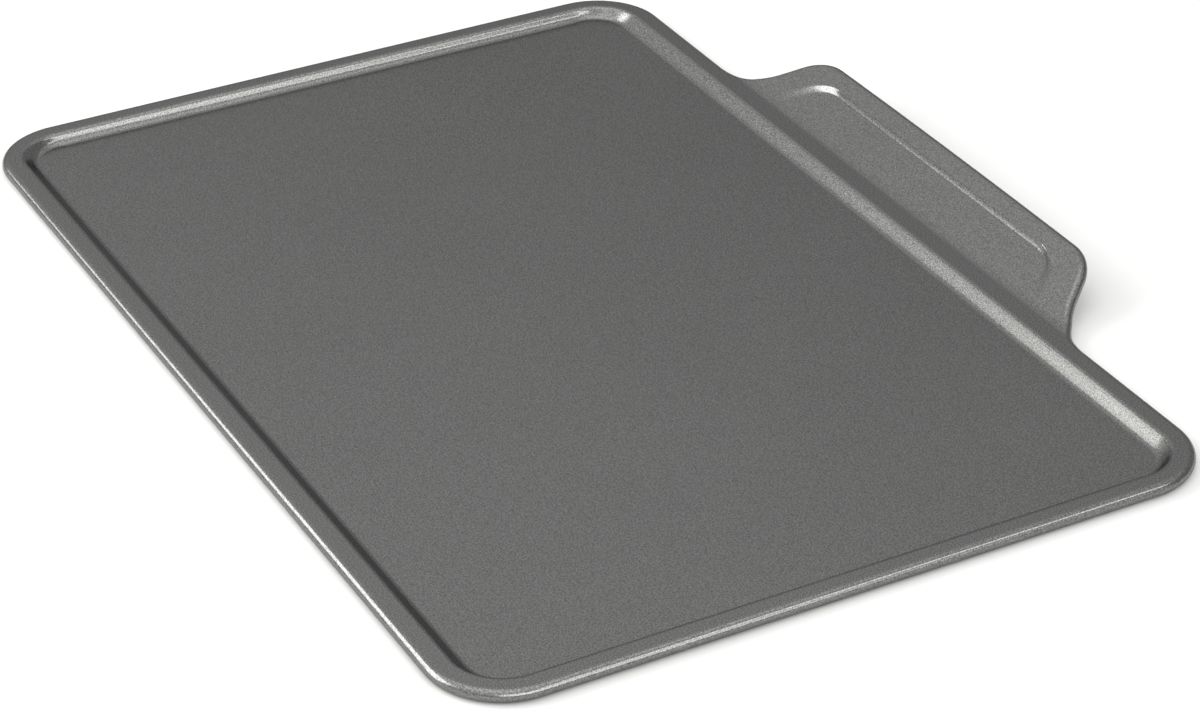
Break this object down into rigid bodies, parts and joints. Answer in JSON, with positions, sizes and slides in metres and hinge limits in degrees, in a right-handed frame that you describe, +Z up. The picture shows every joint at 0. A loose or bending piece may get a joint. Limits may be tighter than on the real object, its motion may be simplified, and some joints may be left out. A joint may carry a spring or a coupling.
{
  "type": "cookie sheet",
  "caption": "Shallow rectangular baking sheet with rounded corners, sloping walls, a wired rolled edge and an upturned lifting tab along one long side.",
  "frame": {"origin": "middle of the flat underside of the base, on the surface that the sheet stands on, and the middle of the sheet without its tab", "axes": "+X along the long sides, +Y towards the lifting tab, +Z up, out of the baking surface"},
  "size_m": [0.432, 0.3216, 0.0179],
  "materials": {
    "coated_steel": "dark grey non-stick coating with a fine metallic grain, satin",
    "steel_wire": "drawn, bare"
  },
  "bodies": {
    "root": {"pressed_sheet": "coated_steel", "rim_wire": "steel_wire"}
  },
  "joints": []
}
